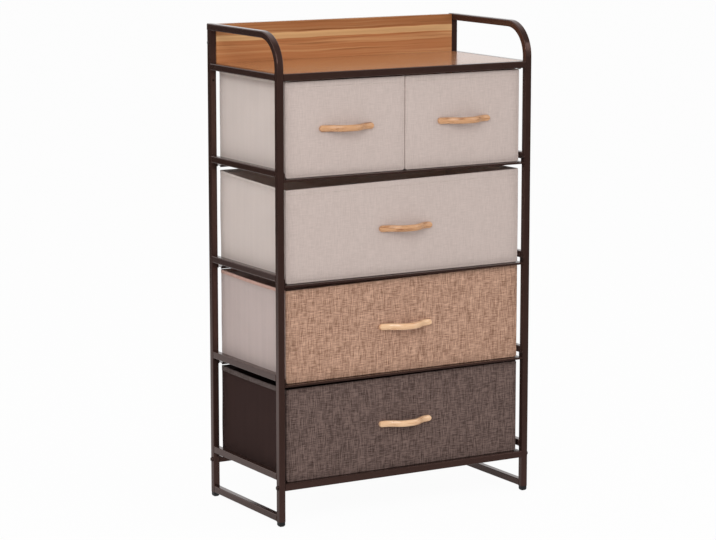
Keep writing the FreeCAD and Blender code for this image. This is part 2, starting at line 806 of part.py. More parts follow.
def base_board(name, wide, x, bottom):
    """The loose board on the floor of a drawer."""
    body = new_body(f"{name}_base_board", x, drawer_y, bottom + dim.cloth_floor)
    side = wide / 2 - dim.cloth_wall - dim.insert_gap
    back = drawer_depth / 2 - dim.cloth_wall - dim.insert_gap
    front = dim.cloth_wall + dim.front_board_thickness + dim.insert_gap - drawer_depth / 2
    drawing = Drawing(body, "XY")
    drawing.rectangle(-side, front, side, back)
    pad(body, drawing, dim.base_board_thickness)
    back_number = back.number

    def is_back_corner(edge):
        upright = edge.BoundBox.ZLength > 0.5 * dim.base_board_thickness.number
        return upright and lies_at(edge, "Y", back_number)

    round_edges(body, dim.drawer_corner - dim.cloth_wall, is_back_corner)
    return body


def handle_path(body):
    """Centre line of a handle, from above: foot, S-bend, crown, S-bend, foot."""
    drawing = Drawing(body, "XY")
    seat = -dim.handle_thickness / 2
    crest = seat - (dim.handle_reach - dim.handle_thickness)
    end = dim.handle_length / 2
    foot = end - dim.handle_foot
    crown = dim.handle_crown / 2
    x0, x1, y0, y1 = foot.number, crown.number, seat.number, crest.number
    mid_x, mid_y = (x0 + x1) / 2, (y0 + y1) / 2
    rise, run = y0 - y1, x0 - x1
    r = (rise**2 + run**2) / (4 * rise)
    sag_x, sag_y = run / 4, rise / 4
    bulge = r - (r**2 - (sag_x**2 + sag_y**2)) ** 0.5
    tilt = (rise**2 + run**2) ** 0.5
    lift_x, lift_y = bulge * rise / tilt, bulge * run / tilt
    curves = []
    for sign in (-1, 1):
        outer_foot = (sign * end.number, y0)
        inner_foot = (sign * x0, y0)
        wave = (sign * mid_x, mid_y)
        peak = (sign * x1, y1)
        near = (sign * ((x0 + mid_x) / 2 + lift_x * -1), (y0 + mid_y) / 2 + lift_y)
        away = (sign * ((x1 + mid_x) / 2 + lift_x), (y1 + mid_y) / 2 - lift_y)
        flat = drawing.line(outer_foot, inner_foot)
        first, first_ends = drawing.arc(inner_foot, near, wave)
        second, second_ends = drawing.arc(wave, away, peak)
        drawing.rule("Horizontal", flat)
        drawing.rule("Tangent", flat, 2, first, first_ends[0])
        drawing.rule("Tangent", first, first_ends[1], second, second_ends[0])
        drawing.rule("Equal", first, second)
        drawing.pin(flat, 1, end * sign, seat)
        drawing.measure("DistanceX", -1, 1, flat, 2, size=foot * sign)
        curves.append((second, second_ends))
    crown_line = drawing.line((-x1, y1), (x1, y1))
    (left, left_ends), (right, right_ends) = curves
    drawing.rule("Horizontal", crown_line)
    drawing.rule("Tangent", left, left_ends[1], crown_line, 1)
    drawing.rule("Tangent", crown_line, 2, right, right_ends[1])
    drawing.pin(crown_line, 1, -crown, crest)
    drawing.measure("DistanceX", -1, 1, crown_line, 2, size=crown)
    return drawing


def handle(name, x, bottom):
    """A bowed wooden band with round ends, screwed on through its two feet."""
    body = new_body(f"{name}_handle", x, drawer_front_y, bottom + dim.drawer_height / 2)
    section = Drawing(body, "YZ", -dim.handle_length / 2)
    section.rounded(dim.handle_thickness, dim.handle_band, dim.handle_edge)
    bind(section.sketch, ".AttachmentOffset.Base.x", -dim.handle_thickness / 2)
    bow = body.newObject("PartDesign::AdditivePipe", f"{body.Name}_bow")
    bow.Profile = section.sketch
    bow.Spine = (handle_path(body).sketch, [])
    doc.recompute()
    trim = Drawing(body, "XZ")
    round_ends(trim)
    pocket(body, trim, both_ways=True)
    holes = Drawing(body, "XZ")
    for sign in SIDES.values():
        holes.circle(handle_screw_x * sign, ZERO, clear_hole)
    pocket(body, holes, dim.handle_screw_grip + dim.hole_end_gap, flipped=True)
    return body


def round_ends(drawing):
    """Draw what is trimmed off a handle's ends, so that each ends in a half round."""
    r = dim.handle_band.number / 2
    end = dim.handle_length.number / 2
    margin = dim.handle_band / 4
    for sign in SIDES.values():
        centre_x = end - r
        top, tip, foot = (sign * centre_x, r), (sign * end, 0), (sign * centre_x, -r)
        curve, ends = drawing.arc(top, tip, foot)
        far = dim.handle_length / 2 + margin
        level = dim.handle_band / 2 + margin
        near_x = (dim.handle_length / 2 - dim.handle_band / 2) * sign
        half = dim.handle_band / 2
        path = [
            (near_x, -half),
            (near_x, -level),
            (far * sign, -level),
            (far * sign, level),
            (near_x, level),
            (near_x, half),
        ]
        lines = [drawing.line(path[n], path[n + 1]) for n in range(len(path) - 1)]
        for n, line in enumerate(lines):
            drawing.pin(line, 1, *path[n])
            if n:
                drawing.rule("Coincident", lines[n - 1], 2, line, 1)
        drawing.rule("Coincident", curve, ends[1], lines[0], 1)
        drawing.rule("Coincident", lines[-1], 2, curve, ends[0])
        drawing.pin(lines[-1], 2, near_x, half)
        drawing.measure("DistanceX", -1, 1, curve, 3, size=near_x)


def drawer(name, wide, x, level):
    """A whole drawer: fabric box, stiffening boards, handle and its screws."""
    bottom = LEVELS[level] + dim.seat_clearance
    fabric_box(name, wide, x, bottom)
    front_board(name, wide, x, bottom)
    base_board(name, wide, x, bottom)
    handle(name, x, bottom)
    skin = dim.cloth_wall + dim.front_board_thickness
    screw = small_screw(f"{name}_handle_screw", skin + dim.handle_screw_grip)
    y = drawer_front_y + skin
    z = bottom + dim.drawer_height / 2
    spots = [((0, -1, 0), x + handle_screw_x * sign, y, z) for sign in SIDES.values()]
    group(f"{name}_handle_screws", screw, spots)


# ---------------------------------------------------------------- the whole dresser
def build():
    """Build every sub-part."""
    for side in SIDES:
        front_post(side)
        back_post(side)
        side_rails(side)
    base_rail("front", front_post_y, 1)
    base_rail("back", back_post_y, -1)
    shelf_rail("front", front_post_y, 1)
    shelf_rail("back", back_post_y, -1)
    for level in BAR_LEVELS:
        support_bar("front", level, front_y, 1)
        support_bar("back", level, back_y, -1)
    shelf_board()
    back_panel()
    frame_fittings()
    drawer("small_left_drawer", small_drawer, -small_drawer_x, "upper")
    drawer("small_right_drawer", small_drawer, small_drawer_x, "upper")
    drawer("upper_drawer", wide_drawer, ZERO, "middle")
    drawer("middle_drawer", wide_drawer, ZERO, "lower")
    drawer("lower_drawer", wide_drawer, ZERO, "base")


def check():
    """Stop if any object failed, or any sub-part has no valid shape."""
    for item in doc.Objects:
        if "Invalid" in item.State or "Error" in item.State:
            raise RuntimeError(f"{item.Label} failed: {item.State}")
        if item.TypeId == "Sketcher::SketchObject" and not item.FullyConstrained:
            raise RuntimeError(f"{item.Label} has a free dimension")
    for item in sub_parts:
        if item.Shape.isNull() or not item.Shape.isValid() or not item.Shape.Solids:
            raise RuntimeError(f"{item.Label} has no valid shape")


build()
doc.recompute()
check()
os.makedirs("parts", exist_ok=True)
for sub_part in sub_parts:
    sub_part.Shape.exportStep(f"parts/{sub_part.Label}.step")
print(f"{len(sub_parts)} sub-parts written")
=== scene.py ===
"""Fabric drawer dresser: its sewn drawers, handles and finishes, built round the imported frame."""

import logging
import math
from collections.abc import Callable, Iterable, Sequence
from dataclasses import dataclass
from enum import Enum

import bmesh
import bpy
from mathutils import Matrix, Vector, noise


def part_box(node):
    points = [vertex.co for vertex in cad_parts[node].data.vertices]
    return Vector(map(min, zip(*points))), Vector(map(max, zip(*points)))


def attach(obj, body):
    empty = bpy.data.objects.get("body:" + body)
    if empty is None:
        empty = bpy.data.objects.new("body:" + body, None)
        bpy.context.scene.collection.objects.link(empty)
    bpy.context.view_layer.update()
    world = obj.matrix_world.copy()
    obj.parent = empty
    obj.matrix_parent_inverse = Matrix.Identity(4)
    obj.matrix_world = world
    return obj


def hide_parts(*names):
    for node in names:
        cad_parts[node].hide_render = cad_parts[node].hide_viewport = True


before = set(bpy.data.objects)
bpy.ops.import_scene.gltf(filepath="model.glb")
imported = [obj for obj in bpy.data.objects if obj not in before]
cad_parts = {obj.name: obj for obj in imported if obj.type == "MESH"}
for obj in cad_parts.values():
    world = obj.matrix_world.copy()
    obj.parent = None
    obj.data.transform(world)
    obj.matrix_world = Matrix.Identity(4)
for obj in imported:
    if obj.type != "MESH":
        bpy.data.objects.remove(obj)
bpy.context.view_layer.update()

MM = 0.001
RIGHT = Vector((1.0, 0.0, 0.0))
BACK = Vector((0.0, 1.0, 0.0))
UP = Vector((0.0, 0.0, 1.0))
FRAME_BODY = "frame"
WHITE = (1.0, 1.0, 1.0, 1.0)
SAME_PLACE = 1e-6
JOINED_PLACE = 1e-5
SLICE_PLACE = 1e-7
SAME_WAY = 0.999

Colour = tuple[float, float, float]
log = logging.getLogger("dresser")


def srgb(red: int, green: int, blue: int) -> Colour:
    """Turn a screen colour into the linear colour that a shader takes.

    Args:
        red: Red, 0 to 255.
        green: Green, 0 to 255.
        blue: Blue, 0 to 255.

    Returns:
        The linear colour.
    """
    parts = (value / 255 for value in (red, green, blue))
    return tuple(
        part / 12.92 if part <= 0.04045 else ((part + 0.055) / 1.055) ** 2.4 for part in parts
    )


def scaled(colour: Colour, share: float) -> Colour:
    """A colour times a share."""
    return tuple(part * share for part in colour)


def middle_of(low: Sequence[float], high: Sequence[float]) -> list[float]:
    """The point halfway between two corners."""
    return [(first + second) / 2 for first, second in zip(low, high)]


def arch(share: float) -> float:
    """A parabola over 0 to 1: 0 at both ends and 1 halfway."""
    return max(0.0, 1.0 - (2.0 * share - 1.0) ** 2)


def nearness(share: float, steepness: float) -> float:
    """Fall from 1 at a side to 0 at 1 / steepness of the way across."""
    return 1.0 - min(1.0, share * steepness)


# ---- shader helpers
class Socket:
    """A shader output that takes part in plain arithmetic."""

    def __init__(self, shader: "Shader", output: bpy.types.NodeSocket) -> None:
        """Wrap one output.

        Args:
            shader: The shader that the output belongs to.
            output: The node's output.
        """
        self.shader = shader
        self.output = output

    def _math(self, operation: str, *terms: "Term") -> "Socket":
        """Add a Math node on some terms."""
        return self.shader.node("ShaderNodeMath", {"operation": operation}, dict(enumerate(terms)))

    def __add__(self, other: "Term") -> "Socket":
        """Sum."""
        return self._math("ADD", self, other)

    def __radd__(self, other: "Term") -> "Socket":
        """Sum, reflected."""
        return self._math("ADD", other, self)

    def __sub__(self, other: "Term") -> "Socket":
        """Difference."""
        return self._math("SUBTRACT", self, other)

    def __rsub__(self, other: "Term") -> "Socket":
        """Difference, reflected."""
        return self._math("SUBTRACT", other, self)

    def __mul__(self, other: "Term") -> "Socket":
        """Product."""
        return self._math("MULTIPLY", self, other)

    def __abs__(self) -> "Socket":
        """Size without sign."""
        return self._math("ABSOLUTE", self)

    def sine(self) -> "Socket":
        """Sine, in radians."""
        return self._math("SINE", self)

    def ramp(self, low: float, high: float) -> "Socket":
        """Smooth step from 0 at low to 1 at high."""
        settings = {"interpolation_type": "SMOOTHSTEP"}
        values = {0: self, 1: low, 2: high, 3: 0.0, 4: 1.0}
        return self.shader.node("ShaderNodeMapRange", settings, values)


Term = Socket | float
NodeValue = Socket | float | Sequence[float]


class Shader:
    """The node tree of one material, built from expressions."""

    def __init__(self, tree: bpy.types.NodeTree) -> None:
        """Start with an empty tree.

        Args:
            tree: The tree of a material or of the world.
        """
        self.tree = tree
        tree.nodes.clear()

    def add(
        self,
        kind: str,
        settings: dict[str, object] | None = None,
        values: dict[int | str, "NodeValue"] | None = None,
    ) -> bpy.types.Node:
        """Add a node.

        Args:
            kind: The node's type.
            settings: Properties that are set first.
            values: A number or a link for each input.

        Returns:
            The node.
        """
        made = self.tree.nodes.new(kind)
        for name, value in (settings or {}).items():
            setattr(made, name, value)
        for name, value in (values or {}).items():
            if isinstance(value, Socket):
                self.tree.links.new(value.output, made.inputs[name])
            else:
                made.inputs[name].default_value = value
        return made

    def node(
        self,
        kind: str,
        settings: dict[str, object] | None = None,
        values: dict[int | str, "NodeValue"] | None = None,
        output: int = 0,
    ) -> Socket:
        """Add a node and hand one of its outputs back; the rest is as for add."""
        return Socket(self, self.add(kind, settings, values).outputs[output])

    def place(self) -> tuple[Socket, Socket, Socket]:
        """Hand back X, Y and Z of the point on the object, in metres."""
        point = self.node("ShaderNodeTexCoord", output=3)
        split = self.add("ShaderNodeSeparateXYZ", values={0: point})
        return tuple(Socket(self, output) for output in split.outputs)

    def rays(self) -> tuple[Socket, Socket, Socket]:
        """Hand back whether the ray is a camera, a glossy or a transmission ray."""
        outputs = self.add("ShaderNodeLightPath").outputs
        kinds = ("Is Camera Ray", "Is Glossy Ray", "Is Transmission Ray")
        return tuple(Socket(self, outputs[kind]) for kind in kinds)

    def noise(self, x: Term, y: Term, z: Term, detail: float = 2.0) -> Socket:
        """Add smooth noise, 0 to 1.

        Args:
            x: First term; a place in metres times cells per metre, or a plain seed.
            y: Second term.
            z: Third term.
            detail: Octaves of finer noise.

        Returns:
            The noise.
        """
        place = self.node("ShaderNodeCombineXYZ", values={0: x, 1: y, 2: z})
        values = {"Vector": place, "Scale": 1.0, "Detail": detail}
        return self.node("ShaderNodeTexNoise", values=values)

    def mix(self, share: Term, first: Colour | Socket, second: Colour | Socket) -> Socket:
        """Mix two colours.

        Args:
            share: 0 for the first colour, 1 for the second.
            first: First colour.
            second: Second colour.

        Returns:
            The mixed colour.
        """
        values: dict[int | str, NodeValue] = {0: share}
        for index, colour in ((6, first), (7, second)):
            values[index] = colour if isinstance(colour, Socket) else (*colour, 1.0)
        return self.node("ShaderNodeMix", {"data_type": "RGBA"}, values, output=2)

    def glow(self, kind: str, strength: Socket) -> Socket:
        """Add a white shader that shines."""
        return self.node(kind, values={"Color": WHITE, "Strength": strength})

    def bump(self, height: Socket, depth: float, strength: float = 1.0) -> Socket:
        """Turn a height into a normal.

        Args:
            height: Height, 0 to 1.
            depth: Metres that a height of 1 stands for.
            strength: Share of the bump.

        Returns:
            The normal.
        """
        values = {"Height": height, "Distance": depth, "Strength": strength}
        return self.node("ShaderNodeBump", values=values)

    def surface(self, **values: NodeValue) -> None:
        """Finish the tree with a Principled shader; an underscore stands for a space."""
        named = {name.replace("_", " "): value for name, value in values.items()}
        shader = self.node("ShaderNodeBsdfPrincipled", values=named)
        self.add("ShaderNodeOutputMaterial", values={"Surface": shader})


@dataclass(frozen=True)
class Finish:
    """A finish with a name; each kind draws its own nodes."""

    name: str

    def draw(self, shader: Shader) -> None:
        """Draw the finish's nodes."""
        raise NotImplementedError

    def material(self) -> bpy.types.Material:
        """Make the material, or hand back the one made before."""
        made = bpy.data.materials.get(self.name)
        if made is None:
            made = bpy.data.materials.new(self.name)
            made.use_nodes = True
            self.draw(Shader(made.node_tree))
        return made


@dataclass(frozen=True)
class Enamel(Finish):
    """Stoved enamel on steel tube: a faint orange peel, with dust in the gloss."""

    colour: Colour
    roughness: float = 0.15
    gloss: float = 0.62
    gloss_tint: Colour = (1.0, 0.6, 0.52)
    peel_depth: float = 0.007 * MM

    def draw(self, shader: Shader) -> None:
        """Draw the finish's nodes."""
        x, y, z = shader.place()
        peel = shader.noise(x * 420, y * 420, z * 420)
        cloud = shader.noise(x * 30, y * 30, z * 30, detail=4)
        speck = shader.noise(x * 2600, y * 2600, z * 2600).ramp(0.68, 0.74)
        tone = shader.mix(cloud * 0.6, self.colour, scaled(self.colour, 1.5))
        shader.surface(
            Base_Color=shader.mix(speck * 0.4, tone, scaled(self.colour, 2.6)),
            Roughness=cloud * 0.1 + speck * 0.2 + (self.roughness - 0.05),
            Normal=shader.bump(peel, self.peel_depth),
            Specular_IOR_Level=self.gloss,
            Specular_Tint=(*self.gloss_tint, 1.0),
        )


@dataclass(frozen=True)
class Linen(Finish):
    """Plain-woven linen with uneven threads both ways, and painted shade between the threads."""

    light: Colour
    dark: Colour
    contrast: float
    slub_width: float = 1.15 * MM
    slub_length: float = 20.0 * MM
    pitch: float = 0.85 * MM
    relief_depth: float = 0.16 * MM

    def draw(self, shader: Shader) -> None:
        """Draw the finish's nodes."""
        x, y, z = shader.place()
        across = x + y
        turns = math.pi / self.pitch
        thin, long = 1.0 / self.slub_width, 1.0 / self.slub_length
        warp_slub = shader.noise(across * thin, z * long, 1.3)
        weft_slub = shader.noise(across * long, z * thin, 4.1)
        warp_thread = shader.noise(across * 1150, z * 130, 7.7, detail=1)
        weft_thread = shader.noise(across * 130, z * 1150, 9.2, detail=1)
        mottle = shader.noise(across * 26, z * 26, 3.0, detail=4)
        over = ((across * turns).sine() * (z * turns).sine() * 3.0 + 0.5).ramp(0.0, 1.0)
        warp_top = abs((across * turns).sine())
        weft_top = abs((z * turns).sine())
        relief = warp_top * over + weft_top * (1.0 - over)
        slub = warp_slub + weft_slub - 1.0
        thread = warp_thread * over + weft_thread * (1.0 - over) - 0.5
        # The relief term also lightens the thread crests and darkens the hollows between threads in
        # the colour: painted shade of the weave.
        tone = slub * 2.8 + thread * 0.8 + (mottle - 0.5) * 0.35 + (relief - 0.6) * 0.3
        shade = (tone * self.contrast + 0.5).ramp(0.0, 1.0)
        shader.surface(
            Base_Color=shader.mix(shade, self.dark, self.light),
            Roughness=0.93 - relief * 0.08,
            Normal=shader.bump(relief + slub * 0.7, self.relief_depth, 0.7),
            Sheen_Weight=0.05,
            Sheen_Roughness=0.6,
            Specular_IOR_Level=0.12,
        )


@dataclass(frozen=True)
class Nonwoven(Finish):
    """Pressed nonwoven cloth: matted fibres with a grid of small welded dimples, painted shade in
    the dimples and painted shading of soft wrinkles.
    """

    colour: Colour
    shade: float = 0.8
    pitch: float = 1.3 * MM
    glow_through: float = 0.35
    glow_reach: float = 4.0 * MM
    relief_depth: float = 0.12 * MM

    def draw(self, shader: Shader) -> None:
        """Draw the finish's nodes."""
        x, y, z = shader.place()
        across = x + y
        along = z + (x - y) * 0.35
        turns = math.pi / self.pitch
        dimple = abs((across * turns).sine() * (along * turns).sine()).ramp(0.55, 0.95)
        fibres = shader.noise(x * 900, y * 900, z * 500, detail=4)
        streak = shader.noise(across * 75, z * 4, 2.0, detail=3)
        # Crease: soft wrinkles that bump the cloth and, in the colour, lighten its rises and darken
        # its hollows: painted shading.
        crease = shader.noise(across * 9, z * 16, 5.0, detail=3)
        # The tone makes the sunk dimples darker than the cloth round them: painted shade in the
        # dimples.
        tone = fibres * 0.5 + streak * 0.45 + crease * 0.35 - dimple * 0.22
        height = fibres * 0.5 - dimple * 0.6 + crease * 3.0
        dark, light = scaled(self.colour, self.shade), scaled(self.colour, 1.06)
        shader.surface(
            Base_Color=shader.mix(tone.ramp(0.1, 1.0), dark, light),
            Roughness=0.9 + dimple * 0.08,
            Normal=shader.bump(height, self.relief_depth, 0.8),
            Specular_IOR_Level=0.12,
            Subsurface_Weight=self.glow_through,
            Subsurface_Radius=(1.0, 0.9, 0.85),
            Subsurface_Scale=self.glow_reach,
        )


@dataclass(frozen=True)
class Veneer(Finish):
    """Warm wood foil with its grain along X and one paler strip."""

    middle: Colour
    light: Colour
    dark: Colour
    pale_strip: float
    strip_half: float = 6.5 * MM
    roughness: float = 0.2

    def draw(self, shader: Shader) -> None:
        """Draw the finish's nodes."""
        x, y, z = shader.place()
        across = y + z
        drift = shader.noise(x * 1.8, across * 10, 1.0, detail=2)
        wave = shader.noise(x * 9, across * 26, 2.0, detail=2)
        line = across + (drift - 0.5) * 0.012 + (wave - 0.5) * 0.006
        broad = shader.noise(x * 1.3, line * 70, 8.0, detail=3)
        streak = shader.noise(x * 4.0, line * 240, 3.0, detail=4)
        fibre = shader.noise(x * 10, line * 900, 5.0, detail=4)
        pores = shader.noise(x * 28, across * 1900, 6.0, detail=2).ramp(0.6, 0.74)
        strip = (self.strip_half - abs(line - self.pale_strip)).ramp(-0.4 * MM, 1.0 * MM)
        vein = (0.47 - streak).ramp(0.0, 0.14) * broad.ramp(0.4, 0.55)
        above = (line - self.pale_strip - self.strip_half).ramp(0.0, 1.5 * MM)
        light_share = broad.ramp(0.4, 0.75) * 0.35 + streak.ramp(0.42, 0.75) * 0.3 + strip * 0.85
        dark_share = (0.5 - broad).ramp(0.0, 0.3) * 0.35 + vein * 0.5 + pores * 0.15 + above * 0.35
        ground = shader.mix(light_share.ramp(0.0, 1.0), self.middle, self.light)
        shader.surface(
            Base_Color=shader.mix(dark_share + (0.5 - fibre) * 0.25, ground, self.dark),
            Roughness=fibre * 0.08 + (self.roughness - 0.04),
            Normal=shader.bump(fibre * 0.4 - pores * 0.5, 0.015 * MM, 0.4),
            Coat_Weight=0.15,
            Coat_Roughness=0.16,
        )


@dataclass(frozen=True)
class TurnedWood(Finish):
    """Pale close-grained wood under clear lacquer, grain along X."""

    light: Colour
    dark: Colour
    lacquer: float = 0.8

    def draw(self, shader: Shader) -> None:
        """Draw the finish's nodes."""
        x, y, z = shader.place()
        drift = shader.noise(x * 14, y * 70, z * 70, detail=3)
        fibre = shader.noise(x * 40, y * 900, z * 900, detail=4)
        vein = shader.noise(x * 22, y * 90, z * 320, detail=3).ramp(0.52, 0.72)
        figure = ((z + y * 0.6 + drift * 0.01) * 2600).sine() * 0.5 + 0.5
        tone = fibre * 0.5 + figure * 0.2 + drift * 0.45 + vein * 0.5
        shader.surface(
            Base_Color=shader.mix(tone.ramp(0.25, 1.25), self.light, self.dark),
            Roughness=fibre * 0.1 + 0.3,
            Normal=shader.bump(fibre, 0.02 * MM, 0.5),
            Coat_Weight=self.lacquer,
            Coat_Roughness=0.14,
        )


@dataclass(frozen=True)
class Moulding(Finish):
    """Moulded plastic with a fine spark-eroded grain."""

    colour: Colour
    roughness: float = 0.45

    def draw(self, shader: Shader) -> None:
        """Draw the finish's nodes."""
        x, y, z = shader.place()
        grain = shader.noise(x * 2400, y * 2400, z * 2400)
        scuff = shader.noise(x * 160, y * 160, z * 420, detail=4).ramp(0.55, 0.8)
        worn = tuple(part * 1.8 + 0.01 for part in self.colour)
        shader.surface(
            Base_Color=shader.mix(scuff * 0.6, self.colour, worn),
            Roughness=grain * 0.15 + scuff * 0.15 + (self.roughness - 0.07),
            Normal=shader.bump(grain, 0.04 * MM, 0.7),
        )


@dataclass(frozen=True)
class ScrewSteel(Finish):
    """Plated steel, brushed by the driver."""

    colour: Colour
    metallic: float = 1.0
    roughness: float = 0.32

    def draw(self, shader: Shader) -> None:
        """Draw the finish's nodes."""
        x, y, z = shader.place()
        brushed = shader.noise(x * 400, y * 400, z * 3200, detail=3)
        stain = shader.noise(x * 240, y * 240, z * 240, detail=4).ramp(0.5, 0.75)
        shader.surface(
            Base_Color=shader.mix(stain * 0.5, self.colour, scaled(self.colour, 0.6)),
            Metallic=self.metallic,
            Roughness=brushed * 0.2 + stain * 0.15 + (self.roughness - 0.1),
            Normal=shader.bump(brushed, 0.01 * MM, 0.5),
        )


@dataclass(frozen=True)
class Thread(Finish):
    """Twisted sewing thread."""

    colour: Colour

    def draw(self, shader: Shader) -> None:
        """Draw the finish's nodes."""
        x, y, z = shader.place()
        twist = ((x + y + z * 1.7) * 9000).sine() * 0.5 + 0.5
        shader.surface(
            Base_Color=shader.mix(twist, scaled(self.colour, 0.65), self.colour),
            Roughness=0.8 - twist * 0.1,
            Normal=shader.bump(twist, 0.05 * MM, 0.6),
            Specular_IOR_Level=0.3,
        )


class Cloth(Enum):
    """The colours that the drawers are sewn in."""

    BEIGE = "beige"
    TAN = "tan"
    BROWN = "brown"


FRONT_CLOTH = {
    Cloth.BEIGE: Linen("beige_linen_weave", srgb(207, 191, 184), srgb(183, 167, 160), 0.28),
    Cloth.TAN: Linen("tan_tweed_weave", srgb(208, 168, 144), srgb(129, 94, 75), 0.62),
    Cloth.BROWN: Linen("brown_linen_weave", srgb(126, 105, 98), srgb(62, 47, 43), 0.64),
}
RIM_CLOTH = {
    Cloth.BEIGE: Linen("beige_rim_weave", srgb(222, 210, 202), srgb(204, 190, 182), 0.5),
    Cloth.TAN: Linen("tan_rim_weave", srgb(222, 186, 172), srgb(194, 150, 136), 0.5),
    Cloth.BROWN: Linen("brown_rim_weave", srgb(112, 98, 94), srgb(70, 58, 54), 0.7),
}
BODY_CLOTH = {
    Cloth.BEIGE: Nonwoven("beige_body_cloth", srgb(206, 192, 185), 0.91, glow_through=0.4),
    Cloth.TAN: Nonwoven("tan_body_cloth", srgb(193, 176, 171), 0.85),
    Cloth.BROWN: Nonwoven("brown_body_cloth", srgb(57, 40, 37), 0.72),
}
SEAM_THREAD = {
    Cloth.BEIGE: Thread("beige_thread", srgb(206, 194, 184)),
    Cloth.TAN: Thread("tan_thread", srgb(190, 152, 130)),
    Cloth.BROWN: Thread("brown_thread", srgb(96, 82, 76)),
}
CLOTH_SLOT = {Cloth.BEIGE: "beige_linen", Cloth.TAN: "tan_tweed", Cloth.BROWN: "brown_linen"}

FRAME_ENAMEL = Enamel("brown_enamel", srgb(50, 35, 31))
DARK_SCREW = Enamel("blackened_screw", srgb(26, 22, 21), 0.3)
ZINC_SCREW = ScrewSteel("zinc_screw", srgb(190, 190, 186))
CAP_PLASTIC = Moulding("black_cap_plastic", srgb(20, 19, 20))
SHELF_VENEER = Veneer(
    "warm_veneer", srgb(186, 122, 77), srgb(222, 176, 124), srgb(126, 78, 44), 1.1095
)
# One handle wood in two colours: the darker copy paints shade onto the three upper handles and the
# paler copy paints light onto the two lower ones. Their lacquer differs as well.
SHADED_HANDLE_WOOD = TurnedWood("shaded_handle_wood", srgb(218, 168, 124), srgb(150, 96, 60), 0.15)
LIT_HANDLE_WOOD = TurnedWood("lit_handle_wood", srgb(248, 208, 166), srgb(204, 144, 100))


# ---- mesh helpers
def block(size: Sequence[float], centre: Sequence[float]) -> bmesh.types.BMesh:
    """Start a mesh as a cuboid.

    Args:
        size: Its three sides.
        centre: Its middle.

    Returns:
        The new mesh.
    """
    mesh = bmesh.new()
    bmesh.ops.create_cube(mesh, size=1.0)
    bmesh.ops.scale(mesh, vec=Vector(size), verts=mesh.verts)
    bmesh.ops.translate(mesh, vec=Vector(centre), verts=mesh.verts)
    return mesh


def round_off(
    mesh: bmesh.types.BMesh,
    width: float,
    segments: int,
    wanted: Callable[[bmesh.types.BMEdge], bool],
) -> None:
    """Round the edges that a test picks.

    Args:
        mesh: The mesh.
        width: Width of the round.
        segments: Faces across it.
        wanted: Says whether an edge is rounded.
    """
    edges = [edge for edge in mesh.edges if wanted(edge)]
    bmesh.ops.bevel(
        mesh,
        geom=edges,
        offset=width,
        offset_type="OFFSET",
        segments=segments,
        profile=0.5,
        affect="EDGES",
        clamp_overlap=True,
        material=-1,
    )


def slice_across(mesh: bmesh.types.BMesh, axis: Vector, places: Iterable[float]) -> None:
    """Cut new edges through the mesh, square to an axis, at some places along it."""
    for place in places:
        everything = mesh.verts[:] + mesh.edges[:] + mesh.faces[:]
        bmesh.ops.bisect_plane(
            mesh, geom=everything, dist=SLICE_PLACE, plane_co=axis * place, plane_no=axis
        )


def spread(low: float, high: float, step: float) -> list[float]:
    """Even places between two ends, about one step apart, without the ends."""
    count = max(1, round((high - low) / step))
    return [low + (high - low) * number / count for number in range(1, count)]


def drop_faces(mesh: bmesh.types.BMesh, *directions: Vector) -> None:
    """Delete the faces that look in any of these directions."""
    facing = 0.99
    gone = [
        face for face in mesh.faces if any(face.normal.dot(way) > facing for way in directions)
    ]
    bmesh.ops.delete(mesh, geom=gone, context="FACES")


def runs_along(edge: bmesh.types.BMEdge, axis: Vector) -> bool:
    """Whether an edge runs along an axis."""
    run = edge.verts[1].co - edge.verts[0].co
    return abs(run.normalized().dot(axis)) > SAME_WAY


@dataclass(frozen=True)
class Run:
    """A straight stretch of a sweep."""

    travel: Vector
    steps: int


@dataclass(frozen=True)
class Bend:
    """A round stretch of a sweep."""

    centre: Vector
    axis: Vector
    angle: float
    steps: int


def sweep(
    mesh: bmesh.types.BMesh, ring: list[bmesh.types.BMEdge], legs: Iterable[Run | Bend]
) -> list[bmesh.types.BMEdge]:
    """Carry a ring of edges along a path and leave a skin behind it.

    Args:
        mesh: The mesh that holds the ring.
        ring: The edges to carry.
        legs: The stretches of the path.

    Returns:
        The ring at the end of the path.
    """
    for leg in legs:
        if isinstance(leg, Bend):
            verts = {vert for edge in ring for vert in edge.verts}
            made = bmesh.ops.spin(
                mesh,
                geom=[*verts, *ring],
                cent=leg.centre,
                axis=leg.axis,
                dvec=(0.0, 0.0, 0.0),
                angle=leg.angle,
                steps=leg.steps,
                use_duplicate=False,
            )["geom_last"]
            ring = [item for item in made if isinstance(item, bmesh.types.BMEdge)]
            continue
        for _ in range(leg.steps):
            made = bmesh.ops.extrude_edge_only(mesh, edges=ring)["geom"]
            verts = {item for item in made if isinstance(item, bmesh.types.BMVert)}
            bmesh.ops.translate(mesh, vec=leg.travel / leg.steps, verts=list(verts))
            edges = (item for item in made if isinstance(item, bmesh.types.BMEdge))
            ring = [edge for edge in edges if set(edge.verts) <= verts]
    return ring


@dataclass(frozen=True)
class Home:
    """Where a new piece belongs: the body that carries it, its slot and the nodes it replaces."""

    body: str
    slot: str
    replaced: tuple[str, ...] = ()


def hand_over(
    mesh: bmesh.types.BMesh, name: str, finish: Finish, home: Home
) -> bpy.types.Object:
    """Turn a finished mesh into a piece of the dresser.

    Args:
        mesh: The mesh; it is freed.
        name: The piece's name.
        finish: Its finish.
        home: Where it belongs.

    Returns:
        The new object.
    """
    data = bpy.data.meshes.new(name)
    for face in mesh.faces:
        face.smooth = True
    mesh.to_mesh(data)
    mesh.free()
    data.materials.append(finish.material())
    piece = bpy.data.objects.new(name, data)
    bpy.context.scene.collection.objects.link(piece)
    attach(piece, home.body)
    if home.replaced:
        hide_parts(*home.replaced)
    log.info("%s: %d faces", name, len(data.polygons))
    return piece


